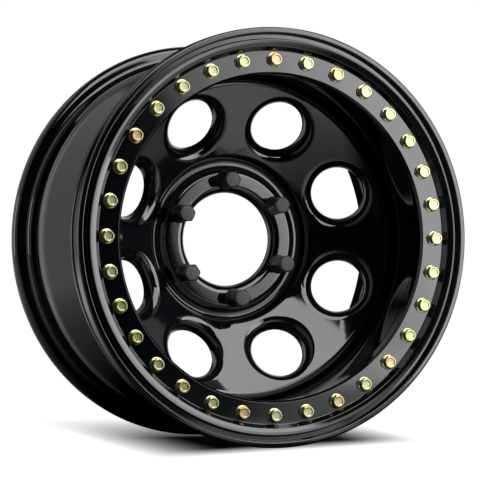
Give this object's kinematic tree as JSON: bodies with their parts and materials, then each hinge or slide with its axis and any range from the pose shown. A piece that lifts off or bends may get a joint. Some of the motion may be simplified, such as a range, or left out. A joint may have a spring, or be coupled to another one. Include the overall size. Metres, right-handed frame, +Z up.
{
  "type": "beadlock wheel",
  "caption": "Steel off-road wheel with round windows in a coned disc and a bolt-on outer ring that clamps the tyre's bead.",
  "frame": {"origin": "on the wheel's axis, in the plane of the disc's hub mounting face", "axes": "+Y along the wheel's axis towards the vehicle (inboard), +Z up, +X to the right seen from the outboard side"},
  "size_m": [0.479, 0.2485, 0.479],
  "materials": {
    "wheel_paint": "gloss black",
    "ring_paint": "gloss black",
    "bolt_zinc": "yellow zinc plate",
    "nut_black": "black plated, satin",
    "valve_metal": "nickel plated brass",
    "valve_rubber": "matt black rubber",
    "cap_plastic": "black plastic"
  },
  "bodies": {
    "root": {"rim_barrel": "wheel_paint", "wheel_disc": "wheel_paint", "bead_ring": "wheel_paint", "disc_welds": "wheel_paint", "ring_weld": "wheel_paint", "clamp_ring": "ring_paint", "ring_bolts": "bolt_zinc", "lug_nuts": "nut_black", "valve_stem": "valve_metal", "valve_nut": "valve_metal", "valve_core": "valve_metal", "valve_seal": "valve_rubber", "valve_cap": "cap_plastic"}
  },
  "joints": []
}
